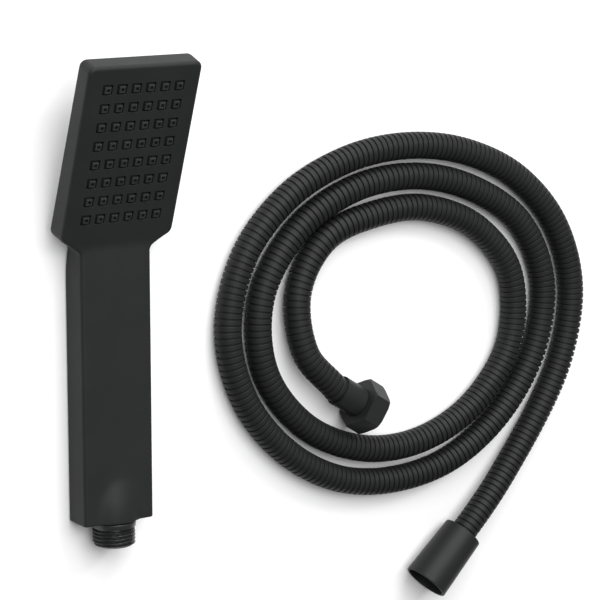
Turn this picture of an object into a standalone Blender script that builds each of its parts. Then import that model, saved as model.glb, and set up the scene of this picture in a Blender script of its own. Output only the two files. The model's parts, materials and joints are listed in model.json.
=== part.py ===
"""Slim square handheld shower head with its hose, as an assembly of separate pieces.

Blender 4.5, metres, +Z up. The handset lies on its flat back with its nozzles facing up:
X across it, Y from the hose inlet to the head, Z out of its front. The hose lies coiled beside it.
"""

import math

import bmesh
import bpy
from mathutils import Vector

mm = 0.001

# ---- driving dimensions -------------------------------------------------------------------
handle_width = 38 * mm
handle_depth = 17 * mm
handle_length = 136 * mm  # from the inlet end to the crease under the face
head_width = 60 * mm
head_length = 94 * mm  # along the face, from the crease
head_depth_low = 13.4 * mm  # at the crease
head_depth_top = 11.2 * mm
head_tilt = math.radians(20)
crease_radius = 13 * mm
back_bend_radius = 60 * mm
shoulder_start = 4.6 * mm  # where the head's sides turn in towards the handle
shoulder_slope = math.radians(33)
shoulder_round = 4 * mm
front_edge_radius = 2.0 * mm
back_edge_radius = 1.8 * mm
top_corner_radius = 3.6 * mm
top_edge_radius = 1.6 * mm
inlet_edge_radius = 0.9 * mm

gap = 0.3 * mm  # between pieces that touch
front_wall = 1.8 * mm
side_wall = 3.4 * mm
cover_rim = 2.4 * mm  # shell left around the rear cover
cover_thickness = 2.2 * mm
end_wall = 3.0 * mm
top_wall = 2.6 * mm
cover_start = 22 * mm  # the shell's back is whole below this, round the inlet

inlet_height = 10.6 * mm  # inlet axis above the flat back
boss_radius = 10.8 * mm
boss_half_width = 12.4 * mm
boss_length = 23.6 * mm
boss_blend = 3.0 * mm

nozzle_rows = 8
nozzle_columns = 6
nozzle_pitch_x = 7.6 * mm
nozzle_pitch_y = 9.6 * mm
nozzle_centre = 48.8 * mm  # middle of the grid, above the crease
window_size = 5.0 * mm
nub_base = 3.5 * mm
nub_top = 3.0 * mm
nub_rise = 0.6 * mm  # nub tips stand this far out of the face
jet_size = 1.0 * mm
mat_thickness = 1.0 * mm
mat_border = 0.8 * mm
plate_thickness = 1.0 * mm
slot_width = 2.4 * mm
gasket_thickness = 0.8 * mm
gasket_width = 1.6 * mm
chamber_depth = 1.4 * mm
chamber_skin = 1.2 * mm
flange_thickness = 1.2 * mm
flange_side = 1.4 * mm
post_radius = 2.2 * mm
pilot_radius = 0.9 * mm
screw_x = 20 * mm
screw_from_grid = 3.7 * mm  # screw centres outside the outermost windows
screw_radius = 0.8 * mm
screw_head_radius = 2.0 * mm
screw_head_height = 1.0 * mm

duct_width = 14 * mm
duct_wall = 1.1 * mm
duct_height = 7.0 * mm
tube_radius = 3.8 * mm
tube_wall = 0.8 * mm
tube_height = 8.85 * mm  # tube axis above the back, along the handle
tube_end = 112 * mm
duct_socket = 6 * mm  # how far the duct reaches over the tube's end, and as far again past it
duct_bend = 4 * mm  # the duct's middle section lies this far below the crease
duct_sink = 0.6 * mm  # and its mouth this far behind the middle of the cavity
tube_start = 11.1 * mm
tube_lead = 5 * mm  # straight length before the tube drops to its run
tube_drop = 26 * mm
tube_seal = 0.5 * mm  # section radius of the two seals at the tube's ends
seal_play = 0.14 * mm

thread_radius = 10.4775 * mm  # G 1/2 pipe thread
thread_pitch = 1.814 * mm
thread_depth = 1.16 * mm
thread_length = 9.4 * mm
collar_radius = 10.85 * mm
collar_length = 2.6 * mm
filter_bore = 7.4 * mm
filter_depth = 6.8 * mm
valve_bore = 5.2 * mm
valve_depth = 15.0 * mm
stub_radius = 7.0 * mm
stub_tail_radius = 6.0 * mm
stub_step = 7.0 * mm
stub_end = 15.0 * mm
clip_radius = 7.9 * mm
clip_thickness = 1.0 * mm
clip_groove = 0.8 * mm
clip_slit = 3.0 * mm
seal_groove = (0.9 * mm, 2.3 * mm)  # where the stub's seal groove starts and ends
seal_section = 0.42 * mm
tube_pocket = 5.2 * mm  # depth of the tube's socket in the stub's end
screen_place = 0.8 * mm  # the filter screen's depth in the bore
screen_height = 1.8 * mm
screen_floor = 0.7 * mm
screen_pitch = 2.0 * mm
screen_hole = 1.2 * mm
restrictor_bores = (2.4 * mm, 3.2 * mm)
restrictor_length = 2.4 * mm
seat_bores = (3.0 * mm, 2.8 * mm, 3.4 * mm)
seat_length = 1.8 * mm
valve_travel = 2.5 * mm
poppet_radius = 3.9 * mm
poppet_thickness = 1.2 * mm
poppet_stem = 0.9 * mm
poppet_length = 8.8 * mm
guide_place = 7.1 * mm  # past the poppet's face
guide_thickness = 1.6 * mm
guide_port = 0.9 * mm
spring_play = 0.15 * mm
spring_wire = 0.25 * mm
spring_radius = 2.3 * mm
spring_turns = 5

hose_radius = 7.0 * mm
hose_rest = 7.05 * mm  # hose centreline above the surface it lies on
nut_rest = 12.1 * mm  # axis of both end fittings above it
cone_length = 34 * mm
cone_mouth_radius = 12 * mm
cone_tail_radius = 10.75 * mm
cone_bore = 8.3 * mm
cone_socket = 11.9 * mm
socket_radius = 10.65 * mm
hex_flats = 24 * mm
hex_length = 10.6 * mm
hex_wall = 2.0 * mm
ferrule_radius = 8.0 * mm
ferrule_length = 14 * mm
flange_radius = 9.6 * mm
hose_flange = 1.4 * mm
washer_thickness = 1.6 * mm
wall_ferrule_top = 2 * mm  # past the hose's cut end
nut_chamfer = (0.9 * mm, 0.9 * mm)  # in from the flats at 1 mm outside the nut, and along its corners
stem_bore = 3.2 * mm
stem_neck = 5.4 * mm

# Hose route seen from above, in mm: from the cone nut, round the coil, to the wall nut.
hose_route = [
    (211, -147), (238, -120.5), (262, -91.5), (279.5, -58.5), (285, -21.5), (273, 13.5), (247, 40.5),
    (212.5, 56.5), (175.5, 62), (138.5, 57.5), (104, 42), (78, 14.5), (68, -22), (77, -58), (101, -88),
    (134, -107.5), (171, -113), (207.5, -106), (239, -85), (260.5, -53.5), (265.5, -17), (249.5, 16),
    (217, 37), (180, 46), (142, 42), (108.5, 24), (87.5, -8), (89.5, -46), (113.5, -77), (149, -93.5),
    (186, -94), (220, -79), (243.5, -49), (243.5, -11), (220.5, 16), (187, 29), (154.5, 28),
    (125.5, 18), (109, -7.5), (111.5, -38), (129, -58.5),
]
wall_end_turn = math.radians(-33)  # the way the wall nut faces
hose_points = 74
hose_rise = 75 * mm  # length over which the hose climbs to each end fitting

# ---- worked out from the above ------------------------------------------------------------
head_normal = Vector((0, -math.sin(head_tilt), math.cos(head_tilt)))
head_along = Vector((0, math.cos(head_tilt), math.sin(head_tilt)))
crease = Vector((0, handle_length, handle_depth))
back_low = crease - head_normal * head_depth_low
back_top = crease + head_along * head_length - head_normal * head_depth_top
back_angle = math.atan2(back_top.z - back_low.z, back_top.y - back_low.y)
back_corner = back_low.y - back_low.z / math.tan(back_angle)
thread_end = -(collar_length + thread_length + gap)
flange_at = {"cone": 1.8 * mm, "wall": 4.6 * mm}  # hose flange faces, past the hose's cut ends
cone_depth_to_hose = flange_at["cone"] - gap + cone_socket
centre_y = -(thread_end + back_top.y) / 2

mat_front = front_wall + gap
plate_front = mat_front + mat_thickness + gap
gasket_front = plate_front + plate_thickness + gap
flange_front = gasket_front + gasket_thickness + gap
chamber_back = flange_front + chamber_depth + chamber_skin
grid_half_x = (nozzle_columns - 1) / 2 * nozzle_pitch_x + window_size / 2
grid_half_y = (nozzle_rows - 1) / 2 * nozzle_pitch_y + window_size / 2
mat_half_x = grid_half_x + mat_border
mat_half_y = grid_half_y + mat_border
screw_y = grid_half_y + screw_from_grid
flange_half_x = mat_half_x + flange_side
flange_half_y = screw_y + post_radius + 0.2 * mm


# ---- helpers ------------------------------------------------------------------------------
def clear_scene():
    for item in list(bpy.data.objects):
        bpy.data.objects.remove(item, do_unlink=True)


materials = {}


def material(name, colour, roughness, metallic=0.0):
    made = bpy.data.materials.new(name)
    made.use_nodes = True
    shader = made.node_tree.nodes["Principled BSDF"]
    shader.inputs["Base Color"].default_value = (*colour, 1)
    shader.inputs["Roughness"].default_value = roughness
    shader.inputs["Metallic"].default_value = metallic
    materials[name] = made


def make_materials():
    material("shell_plastic", (0.028, 0.030, 0.029), 0.42)
    material("silicone", (0.045, 0.046, 0.047), 0.6)
    material("inner_plastic", (0.30, 0.31, 0.32), 0.5)
    material("clear_plastic", (0.62, 0.66, 0.68), 0.35)
    material("black_brass", (0.022, 0.023, 0.023), 0.38, 0.4)
    material("hose_metal", (0.020, 0.021, 0.021), 0.36, 0.5)
    material("steel", (0.55, 0.55, 0.56), 0.3, 1.0)
    material("seal_rubber", (0.02, 0.02, 0.02), 0.7)


def empty(name, place, parent=None):
    made = bpy.data.objects.new(name, None)
    bpy.context.scene.collection.objects.link(made)
    made.location = place
    made.parent = parent
    return made


def finish(name, mesh_tool, look, parent=None, smooth=True):
    """Turns a bmesh into a named object, facing outwards."""
    bmesh.ops.remove_doubles(mesh_tool, verts=mesh_tool.verts, dist=0.002 * mm)
    bmesh.ops.recalc_face_normals(mesh_tool, faces=mesh_tool.faces)
    mesh = bpy.data.meshes.new(name)
    mesh_tool.to_mesh(mesh)
    mesh_tool.free()
    made = bpy.data.objects.new(name, mesh)
    bpy.context.scene.collection.objects.link(made)
    made.parent = parent
    if look:
        mesh.materials.append(materials[look])
    else:
        made.hide_render = True
        made.display_type = "WIRE"
    if smooth:
        for face in mesh.polygons:
            face.use_smooth = True
    return made


def skin(tool, rings, closed=False):
    """Faces between rings of equal size, and a face over each end unless the rings close up."""
    loops = [[tool.verts.new(point) for point in ring] for ring in rings]
    pairs = list(zip(loops, loops[1:]))
    if closed:
        pairs.append((loops[-1], loops[0]))
    for low, high in pairs:
        for i in range(len(low)):
            j = (i + 1) % len(low)
            tool.faces.new((low[i], low[j], high[j], high[i]))
    if not closed:
        tool.faces.new(loops[0])
        tool.faces.new(loops[-1])


def loft(name, rings, look, parent=None, closed=False, smooth=True):
    tool = bmesh.new()
    skin(tool, rings, closed)
    return finish(name, tool, look, parent, smooth)


def turned(name, profile, look, parent=None, sides=24, closed=True, smooth=True):
    """A round piece on the local Y axis, from (distance along, radius) points."""
    tool = bmesh.new()
    corners = [tool.verts.new((radius, along, 0)) for along, radius in profile]
    edges = [tool.edges.new(pair) for pair in zip(corners, corners[1:])]
    if closed:
        edges.append(tool.edges.new((corners[-1], corners[0])))
    bmesh.ops.spin(
        tool, geom=corners + edges, cent=(0, 0, 0), axis=(0, 1, 0), angle=2 * math.pi,
        steps=sides, use_merge=True,
    )
    return finish(name, tool, look, parent, smooth)


def boxes(name, corners, look, parent=None):
    """Boxes from (lowest corner, highest corner) pairs, in one object."""
    tool = bmesh.new()
    for low, high in corners:
        made = bmesh.ops.create_cube(tool, size=1)["verts"]
        for vert in made:
            for axis in range(3):
                vert.co[axis] = high[axis] if vert.co[axis] > 0 else low[axis]
    return finish(name, tool, look, parent, smooth=False)


def cut(target, cutter, operation="DIFFERENCE"):
    step = target.modifiers.new(cutter.name, "BOOLEAN")
    step.operation = operation
    step.solver = "EXACT"
    step.object = cutter


def simplify(target, angle=0.4):
    step = target.modifiers.new("flat_faces", "DECIMATE")
    step.decimate_type = "DISSOLVE"
    step.angle_limit = math.radians(angle)


def ring_seal(name, radius, thickness, look, parent, sides=18, around=6):
    profile = [
        (thickness * math.sin(math.tau * i / around), radius + thickness * math.cos(math.tau * i / around))
        for i in range(around)
    ]
    return turned(name, profile, look, parent, sides)


def arc_inset(distance, radius):
    """How far a rounded edge has drawn in, this far from the end."""
    if distance >= radius:
        return 0.0
    return radius - math.sqrt(radius**2 - (radius - distance) ** 2)


# ---- handset body outline -----------------------------------------------------------------
def bent_line(along, corner_y, corner_z, angle, radius):
    """A point on a line that runs along +Y, then bends up by angle round a radius."""
    tangent = radius * math.tan(angle / 2)
    arc = radius * angle
    if along < -arc / 2:
        return Vector((0, corner_y - tangent + along + arc / 2, corner_z))
    if along > arc / 2:
        rest = tangent + along - arc / 2
        return Vector((0, corner_y + rest * math.cos(angle), corner_z + rest * math.sin(angle)))
    turn = along / radius + angle / 2
    return Vector((0, corner_y - tangent + radius * math.sin(turn),
                   corner_z + radius * (1 - math.cos(turn))))


def back_at(front_along):
    """How far along the back line the point under this part of the face lies."""
    depth = head_depth_low + (head_depth_top - head_depth_low) * front_along / head_length
    point = crease + head_along * front_along - head_normal * depth
    reach = math.hypot(point.y - back_corner, point.z)
    return reach - back_bend_radius * (math.tan(back_angle / 2) - back_angle / 2)


bend_low = back_corner - back_bend_radius * math.tan(back_angle / 2) - handle_length
bend_high = shoulder_start + shoulder_round


def side_points():
    """The shoulder's outline: (distance above the crease, half width), with rounded corners."""
    drop = (head_width - handle_width) / 2 * math.tan(shoulder_slope)
    high = Vector((head_width / 2, shoulder_start))
    low = Vector((handle_width / 2, shoulder_start - drop))
    turn = math.pi / 2 - shoulder_slope
    back_off = shoulder_round * math.tan(turn / 2)
    points = []
    for step in range(5):
        swing = turn * step / 4
        centre = low + Vector((shoulder_round, -back_off))
        points.append((centre.y + shoulder_round * math.sin(swing),
                       centre.x - shoulder_round * math.cos(swing)))
    for step in range(5):
        swing = turn * (1 - step / 4)
        centre = high + Vector((-shoulder_round, back_off))
        points.append((centre.y - shoulder_round * math.sin(swing),
                       centre.x + shoulder_round * math.cos(swing)))
    return points


shoulder = side_points()


def half_width(along):
    if along <= shoulder[0][0]:
        return handle_width / 2
    for (low, narrow), (high, wide) in zip(shoulder, shoulder[1:]):
        if along <= high:
            return narrow + (wide - narrow) * (along - low) / (high - low)
    return head_width / 2


def boss_height(x, y, shrink=0.0):
    """How far the soft boss over the inlet stands above the handle's flat front."""
    radius = boss_radius - shrink
    inside = 1 - (x / (boss_half_width - shrink)) ** 2 - (y / (boss_length - shrink)) ** 2
    height = inlet_height - (handle_depth - shrink) + radius * math.sqrt(max(inside, 0.0))
    mix = min(max(0.5 + 0.5 * height / boss_blend, 0.0), 1.0)
    return mix * height + boss_blend * mix * (1 - mix)


def section(along, low, high, side, radii, inset, boss):
    """One cross-section of the handset's body, between two distances from its back.

    A negative high counts from the front. boss is how far a skin lies inside the boss over the
    inlet, or None for a skin that the boss doesn't reach.
    """
    steps = 3 if max(radii) > 0.5 * mm else 1
    across = 1 if boss is None else 7
    if along <= bend_low:
        front = Vector((0, handle_length + along, handle_depth))
        back = Vector((0, handle_length + along, 0))
    else:
        front = bent_line(along, handle_length, handle_depth, head_tilt, crease_radius)
        if along >= bend_high:
            back_along = back_at(along)
        else:
            start = -back_bend_radius * back_angle / 2
            share = (along - bend_low) / (bend_high - bend_low)
            back_along = start + share * (back_at(bend_high) - start)
        back = bent_line(back_along, back_corner, 0, back_angle, back_bend_radius)
    out = (front - back).normalized()
    depth = (front - back).length
    bottom = back + out * (low + inset)
    top = back + out * ((high if high > 0 else depth + high) - inset)
    ring = []
    corner_front, corner_back = radii
    inner = side - corner_front
    for i in range(-across, across + 1):
        x = inner * i / across
        lift = 0.0 if boss is None else boss_height(x, handle_length + along, boss)
        ring.append(top + Vector((x, 0, 0)) + out * lift)
    for step in range(1, steps + 1):
        swing = math.pi / 2 * step / steps
        ring.append(top + Vector((inner + corner_front * math.sin(swing), 0, 0))
                    - out * corner_front * (1 - math.cos(swing)))
    inner_back = side - corner_back
    for step in range(steps + 1):
        swing = math.pi / 2 * step / steps
        ring.append(bottom + Vector((inner_back + corner_back * math.cos(swing), 0, 0))
                    + out * corner_back * (1 - math.sin(swing)))
    for step in range(steps + 1):
        swing = math.pi / 2 * (1 - step / steps)
        ring.append(bottom - Vector((inner_back + corner_back * math.cos(swing), 0, 0))
                    + out * corner_back * (1 - math.sin(swing)))
    for step in range(steps, 0, -1):
        swing = math.pi / 2 * step / steps
        ring.append(top - Vector((inner + corner_front * math.sin(swing), 0, 0))
                    - out * corner_front * (1 - math.cos(swing)))
    return ring


def body_rings(low, high, side_inset, start, stop, radii, end_rounds, boss=None):
    """Cross-sections from the inlet end (start above it) to the head's top (stop below it)."""
    start_round, corner_round, top_round = end_rounds
    begin = start - handle_length
    end = head_length - stop
    places = {begin, end, begin + start_round, end - corner_round, end - top_round}
    for share in (0.12, 0.45):
        places.add(begin + start_round * share)
        places.add(end - corner_round * share)
        places.add(end - top_round * share)
    for y in range(3, 31, 3):
        places.add(y * mm - handle_length)
    for along in (bend_low, bend_low + 3 * mm, bend_low + 6 * mm, bend_low + 9 * mm, 14 * mm):
        places.add(along)
    for along, _ in shoulder:
        places.add(along + 0.4 * side_inset)
    for share in range(-2, 3):
        places.add(crease_radius * head_tilt / 4 * share)
    rings = []
    last = None
    for along in sorted(places):
        if along < begin - 1e-9 or along > end + 1e-9:
            continue
        if last is not None and along - last < 0.05 * mm:
            continue
        last = along
        from_start = along - begin
        from_end = end - along
        side = half_width(along - 0.4 * side_inset) - side_inset
        side -= max(arc_inset(from_start, start_round), arc_inset(from_end, corner_round))
        inset = max(arc_inset(from_start, start_round), arc_inset(from_end, top_round))
        rings.append(section(along, low, high, side, radii, inset, boss))
    return rings


def make_front_shell(handset, head):
    shell = loft(
        "front_shell",
        body_rings(0, -1e-9, 0, 0, 0, (front_edge_radius, back_edge_radius),
                   (inlet_edge_radius, top_corner_radius, top_edge_radius), 0),
        "shell_plastic", handset,
    )
    hollow = loft(
        "shell_hollow",
        body_rings(cover_thickness + gap, -front_wall, side_wall, end_wall, top_wall,
                   (1.0 * mm, 0.6 * mm), (0.5 * mm, 2 * mm, 0.8 * mm), front_wall),
        None, handset,
    )
    opening = loft(
        "cover_opening",
        body_rings(-2 * mm, cover_thickness + 2 * gap, cover_rim, cover_start, top_wall,
                   (0.2 * mm, 0.2 * mm), (0.2 * mm, 2.4 * mm, 0.2 * mm)),
        None, handset,
    )
    cut(shell, hollow)
    cut(shell, opening)
    bore = turned("spigot_hole", [(-5 * mm, 0), (-5 * mm, stub_radius + gap), (end_wall + 2 * mm,
                  stub_radius + gap), (end_wall + 2 * mm, 0)], None, handset, sides=28, closed=False)
    bore.location = (0, 0, inlet_height)
    cut(shell, bore)
    windows = []
    for x, y in nozzle_places():
        half = window_size / 2
        windows.append(((x - half, y - half, -front_wall - 1 * mm), (x + half, y + half, 1 * mm)))
    cut(shell, boxes("nozzle_windows", windows, None, head))
    for number, (x, y) in enumerate(screw_places()):
        post = turned(f"post_{number}", [(0, 0), (0, post_radius), (flange_front - gap - front_wall
                      + 0.6 * mm, post_radius), (flange_front - gap - front_wall + 0.6 * mm, 0)],
                      None, head, sides=12, closed=False)
        post.rotation_euler = (-math.pi / 2, 0, 0)
        post.location = (x, y, -front_wall + 0.6 * mm)
        cut(shell, post, "UNION")
        pilot = turned(f"pilot_{number}", [(0, 0), (0, pilot_radius), (6 * mm, pilot_radius), (6 * mm, 0)],
                       None, head, sides=8, closed=False)
        pilot.rotation_euler = (-math.pi / 2, 0, 0)
        pilot.location = (x, y, -front_wall - 0.4 * mm)
        cut(shell, pilot)
    simplify(shell)


def make_rear_cover(handset):
    cover = loft(
        "rear_cover",
        body_rings(0, cover_thickness, cover_rim + gap, cover_start + gap, top_wall + gap,
                   (0.2 * mm, 0.2 * mm), (0.2 * mm, 2.2 * mm, 0.2 * mm)),
        "shell_plastic", handset,
    )
    simplify(cover)


def nozzle_places():
    for row in range(nozzle_rows):
        for column in range(nozzle_columns):
            yield ((column - (nozzle_columns - 1) / 2) * nozzle_pitch_x,
                   nozzle_centre + (row - (nozzle_rows - 1) / 2) * nozzle_pitch_y)


def screw_places():
    for side in (-1, 1):
        for end in (-1, 1):
            yield side * screw_x, nozzle_centre + end * screw_y


# ---- spray chamber in the head --------------------------------------------------------------
def grid_plate(x_lines, y_lines, low, high, hole):
    """A flat plate on grid lines, with the cells where hole(i, j) is true left open."""
    tool = bmesh.new()
    verts = {}

    def vert(i, j, z):
        key = (i, j, z)
        if key not in verts:
            verts[key] = tool.verts.new((x_lines[i], y_lines[j], z))
        return verts[key]

    columns = len(x_lines) - 1
    rows = len(y_lines) - 1
    for i in range(columns):
        for j in range(rows):
            if hole(i, j):
                continue
            for z in (low, high):
                tool.faces.new([vert(i, j, z), vert(i + 1, j, z), vert(i + 1, j + 1, z), vert(i, j + 1, z)])
            for a, b, near in (((i, j), (i + 1, j), (i, j - 1)), ((i, j + 1), (i + 1, j + 1), (i, j + 1)),
                               ((i, j), (i, j + 1), (i - 1, j)), ((i + 1, j), (i + 1, j + 1), (i + 1, j))):
                outside = not (0 <= near[0] < columns and 0 <= near[1] < rows)
                if outside or hole(*near):
                    tool.faces.new([vert(*a, low), vert(*b, low), vert(*b, high), vert(*a, high)])
    return tool, verts


def make_nozzle_mat(head):
    x_lines = [-mat_half_x]
    for column in range(nozzle_columns):
        x = (column - (nozzle_columns - 1) / 2) * nozzle_pitch_x
        x_lines += [x - nub_base / 2, x + nub_base / 2]
    x_lines.append(mat_half_x)
    y_lines = [nozzle_centre - mat_half_y]
    for row in range(nozzle_rows):
        y = nozzle_centre + (row - (nozzle_rows - 1) / 2) * nozzle_pitch_y
        y_lines += [y - nub_base / 2, y + nub_base / 2]
    y_lines.append(nozzle_centre + mat_half_y)
    low = -mat_front - mat_thickness
    high = -mat_front
    tool, verts = grid_plate(x_lines, y_lines, low, high, lambda i, j: False)
    top = nub_rise
    for i in range(1, len(x_lines) - 1, 2):
        for j in range(1, len(y_lines) - 1, 2):
            corners = [(i, j), (i + 1, j), (i + 1, j + 1), (i, j + 1)]
            signs = [(-1, -1), (1, -1), (1, 1), (-1, 1)]
            x = (x_lines[i] + x_lines[i + 1]) / 2
            y = (y_lines[j] + y_lines[j + 1]) / 2
            for z in (low, high):
                spare = tool.faces.get([verts[(*corner, z)] for corner in corners])
                tool.faces.remove(spare)
            base = [verts[(*corner, high)] for corner in corners]
            under = [verts[(*corner, low)] for corner in corners]
            tip = [tool.verts.new((x + nub_top / 2 * a, y + nub_top / 2 * b, top)) for a, b in signs]
            jet_top = [tool.verts.new((x + jet_size / 2 * a, y + jet_size / 2 * b, top)) for a, b in signs]
            jet_low = [tool.verts.new((x + jet_size * a, y + jet_size * b, low)) for a, b in signs]
            for k in range(4):
                m = (k + 1) % 4
                tool.faces.new([base[k], base[m], tip[m], tip[k]])
                tool.faces.new([tip[k], tip[m], jet_top[m], jet_top[k]])
                tool.faces.new([jet_top[k], jet_top[m], jet_low[m], jet_low[k]])
                tool.faces.new([jet_low[k], jet_low[m], under[m], under[k]])
    mat = finish("nozzle_mat", tool, "silicone", head, smooth=False)
    simplify(mat)


def make_spray_plate(head):
    rows = []
    for row in range(nozzle_rows):
        y = nozzle_centre + (row - (nozzle_rows - 1) / 2) * nozzle_pitch_y
        rows += [y - slot_width / 2, y + slot_width / 2]
    y_lines = [nozzle_centre - mat_half_y] + rows + [nozzle_centre + mat_half_y]
    slot_end = (nozzle_columns - 1) / 2 * nozzle_pitch_x + slot_width / 2
    x_lines = [-mat_half_x, -slot_end, -slot_width / 2, slot_width / 2, slot_end, mat_half_x]
    tool, _ = grid_plate(x_lines, y_lines, -plate_front - plate_thickness, -plate_front,
                         lambda i, j: j % 2 == 1 and i in (1, 3))
    finish("spray_plate", tool, "inner_plastic", head, smooth=False)


def make_chamber(head):
    inner_x = mat_half_x - gasket_width
    inner_y = mat_half_y - gasket_width
    x_lines = [-mat_half_x, -inner_x, inner_x, mat_half_x]
    y_lines = [nozzle_centre + y for y in (-mat_half_y, -inner_y, inner_y, mat_half_y)]
    tool, _ = grid_plate(x_lines, y_lines, -gasket_front - gasket_thickness, -gasket_front,
                         lambda i, j: i == 1 and j == 1)
    finish("chamber_gasket", tool, "seal_rubber", head, smooth=False)

    cover = boxes("chamber_cover", [((-flange_half_x, nozzle_centre - flange_half_y,
                                      -flange_front - flange_thickness),
                                     (flange_half_x, nozzle_centre + flange_half_y, -flange_front))],
                  "inner_plastic", head)
    dome = boxes("chamber_dome", [((-mat_half_x, nozzle_centre - mat_half_y, -chamber_back),
                                   (mat_half_x, nozzle_centre + mat_half_y,
                                    -flange_front - flange_thickness / 2))], None, head)
    cut(cover, dome, "UNION")
    hollow = boxes("chamber_hollow", [((-inner_x, nozzle_centre - inner_y, -chamber_back + chamber_skin),
                                       (inner_x, nozzle_centre + inner_y, 0))], None, head)
    cut(cover, hollow)
    mouth = boxes("chamber_mouth", [((-duct_width / 2 + duct_wall, nozzle_centre - flange_half_y - 1 * mm,
                                      -chamber_back + chamber_skin),
                                     (duct_width / 2 - duct_wall, nozzle_centre - inner_y + 1 * mm,
                                      -flange_front + 1 * mm))], None, head)
    cut(cover, mouth)
    for number, (x, y) in enumerate(screw_places()):
        hole = turned(f"flange_hole_{number}", [(-9 * mm, 0), (-9 * mm, screw_radius + gap), (0,
                      screw_radius + gap), (0, 0)], None, head, sides=12, closed=False)
        hole.rotation_euler = (math.pi / 2, 0, 0)
        hole.location = (x, y, 0)
        cut(cover, hole)
        make_plate_screw(number + 1, x, y, head)


def make_plate_screw(number, x, y, head):
    under = flange_front + flange_thickness + gap / 2
    length = under - front_wall - 1.0 * mm
    top = screw_head_height
    screw = turned(f"plate_screw_{number}", [(-length, 0), (-length + 0.5 * mm, screw_radius),
                   (0, screw_radius), (0, screw_head_radius), (top * 0.7, screw_head_radius),
                   (top, screw_head_radius * 0.7), (top, 0)], "steel", head, sides=12, closed=False)
    screw.rotation_euler = (-math.pi / 2, 0, 0)
    screw.location = (x, y, -under)


def duct_ring(place, out, wide, high, count=20):
    """An oval with flattened sides, square to the way the duct runs."""
    ring = []
    for i in range(count):
        swing = math.tau * i / count
        c, s = math.cos(swing), math.sin(swing)
        x = math.copysign(abs(c) ** 0.7, c) * wide / 2
        z = math.copysign(abs(s) ** 0.7, s) * high / 2
        ring.append(place + Vector((x, 0, 0)) + out * z)
    return ring


def make_water_path(handset, head):
    """The bent duct under the spray chamber, and the tube that feeds it from the inlet."""
    middle = -(chamber_back + front_wall) / 2 - duct_sink
    top_place = crease + head_along * (nozzle_centre - flange_half_y - gap) + head_normal * middle
    bend_place = crease - head_along * duct_bend + head_normal * (middle - duct_sink)
    low_place = Vector((0, tube_end + duct_socket, tube_height))
    tail_place = Vector((0, tube_end - duct_socket, tube_height))
    round_size = 2 * (tube_radius + gap + duct_wall)
    half_out = (head_normal + Vector((0, 0, 1))).normalized()
    stations = [
        (tail_place, Vector((0, 0, 1)), round_size, round_size),
        (low_place, Vector((0, 0, 1)), round_size, round_size),
        (bend_place, half_out, duct_width, duct_height),
        (top_place, head_normal, duct_width, duct_height),
    ]
    outer = [duct_ring(place, out, wide, high) for place, out, wide, high in stations]
    inner = [duct_ring(place, out, wide - 2 * duct_wall, high - 2 * duct_wall)
             for place, out, wide, high in stations]
    loft("inlet_duct", outer + inner[::-1], "inner_plastic", handset, closed=True)

    start = Vector((0, tube_start, inlet_height))
    path = [start, start + Vector((0, tube_lead, 0))]
    for share in (0.25, 0.5, 0.75, 1.0):
        ease = (1 - math.cos(math.pi * share)) / 2
        path.append(Vector((0, start.y + tube_lead + tube_drop * share,
                            inlet_height + (tube_height - inlet_height) * ease)))
    path.append(Vector((0, tube_end, tube_height)))
    loft("water_tube", hollow_rings(path, tube_radius, tube_radius - tube_wall), "clear_plastic", handset,
         closed=True)
    middle_radius = tube_radius - tube_wall / 2
    top_seal = ring_seal("tube_seal_top", middle_radius, tube_seal, "seal_rubber", handset)
    top_seal.location = (0, tube_end + tube_seal + seal_play, tube_height)
    low_seal = ring_seal("tube_seal_bottom", middle_radius, tube_seal, "seal_rubber", handset)
    low_seal.location = (0, start.y - tube_seal - seal_play, inlet_height)


def hollow_rings(path, outer, inner, sides=16):
    """Rings for a tube with a bore, in the plane square to X."""
    outside = []
    inside = []
    for i, place in enumerate(path):
        ahead = path[min(i + 1, len(path) - 1)] - path[max(i - 1, 0)]
        out = Vector((0, -ahead.z, ahead.y)).normalized()
        for radius, rings in ((outer, outside), (inner, inside)):
            rings.append([place + Vector((radius * math.cos(math.tau * k / sides), 0, 0))
                          + out * radius * math.sin(math.tau * k / sides) for k in range(sides)])
    return outside + inside[::-1]


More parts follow.
